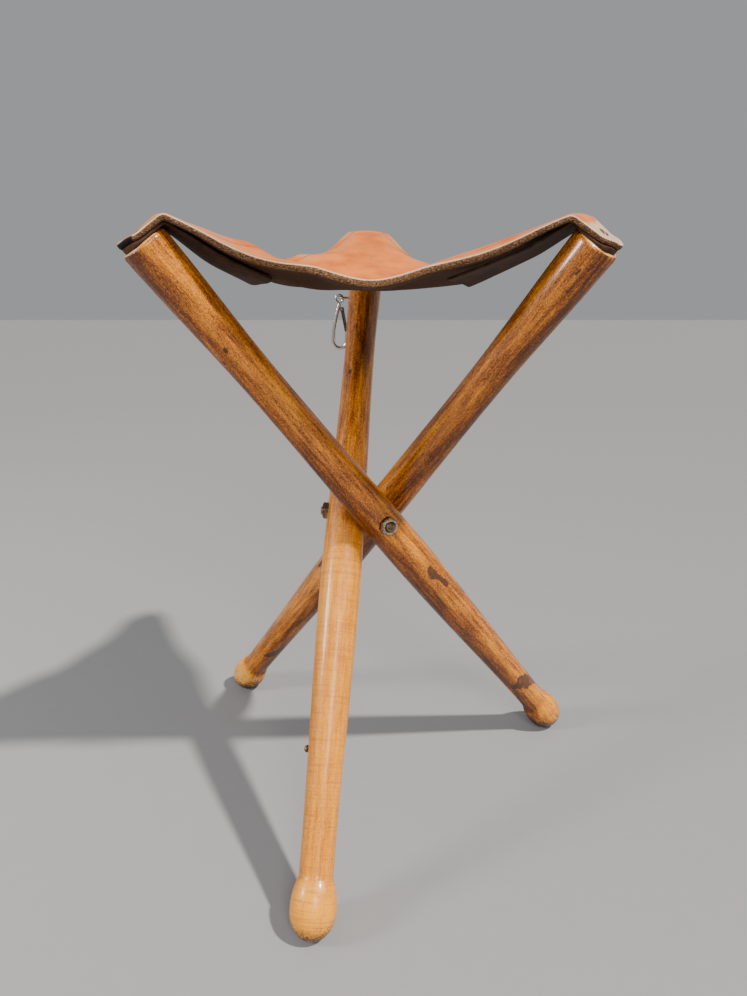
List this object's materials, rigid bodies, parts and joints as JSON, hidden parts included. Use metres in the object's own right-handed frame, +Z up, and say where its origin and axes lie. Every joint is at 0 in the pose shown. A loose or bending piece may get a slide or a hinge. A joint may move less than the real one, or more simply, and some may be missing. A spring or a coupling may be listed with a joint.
{
  "type": "folding three-legged stool",
  "caption": "Folding campaign stool: turned wooden legs crossing on a three-way bolt, a sat-in triangular leather seat bent over the leg ends, and a snap hook on one leg.",
  "frame": {"origin": "on the floor, at the middle of the open stool's bounding box", "axes": "+Z up, the foot nearest the viewer towards -Y, the viewer's right towards +X"},
  "size_m": [0.3536, 0.3834, 0.4832],
  "materials": {
    "wood": "worn varnish over turned hardwood",
    "seat_leather": "tan saddle leather, worn to a satin",
    "tongue_leather": "dark brown, matt",
    "steel": "dull, tarnished",
    "nickel": "worn nickel plate"
  },
  "bodies": {
    "hub": {"three_way_bolt": "steel", "pivot_nut_right": "steel", "pivot_nut_left": "steel", "pivot_nut_front": "steel", "seat": "seat_leather", "tongue_right": "tongue_leather", "tongue_left": "tongue_leather", "tongue_front": "tongue_leather"},
    "front_leg": {"leg_front": "wood", "corner_screw_front": "steel", "screw_eye": "steel", "strap_stud": "steel"},
    "right_leg": {"leg_right": "wood", "corner_screw_right": "steel"},
    "left_leg": {"leg_left": "wood", "corner_screw_left": "steel"},
    "hook": {"snap_hook": "nickel", "gate_pin": "steel"},
    "gate": {"snap_gate": "nickel", "gate_spring": "steel"}
  },
  "joints": [
    {"name": "front_fold", "type": "hinge", "parent": "hub", "child": "front_leg", "pos_m": [-0.03812, 0.00941, 0.25292], "axis": [0.9943, -0.1063, 0], "range_deg": [0, 38.1], "deforming": ["seat", "tongue_right", "tongue_left", "tongue_front"]},
    {"name": "right_fold", "type": "hinge", "parent": "hub", "child": "right_leg", "pos_m": [-0.00943, -0.01151, 0.25292], "axis": [-0.4051, 0.9143, 0], "range_deg": [0, 38.1]},
    {"name": "left_fold", "type": "hinge", "parent": "hub", "child": "left_leg", "pos_m": [-0.00566, 0.0238, 0.25292], "axis": [-0.5892, -0.808, 0], "range_deg": [0, 38.1]},
    {"name": "hook_swing", "type": "hinge", "parent": "front_leg", "child": "hook", "pos_m": [-0.04774, 0.14448, 0.42289], "axis": [-0.1063, -0.9943, 0], "range_deg": [-85, 15]},
    {"name": "gate_open", "type": "hinge", "parent": "hook", "child": "gate", "pos_m": [-0.04526, 0.14421, 0.41239], "axis": [0.1063, 0.9943, 0], "range_deg": [0, 22], "stiffness_Nm_per_rad": 0.02, "springref_deg": -17.19}
  ],
  "couplings": [
    {"joint": "right_fold", "follows": "front_fold", "ratio": 1},
    {"joint": "left_fold", "follows": "front_fold", "ratio": 1}
  ]
}
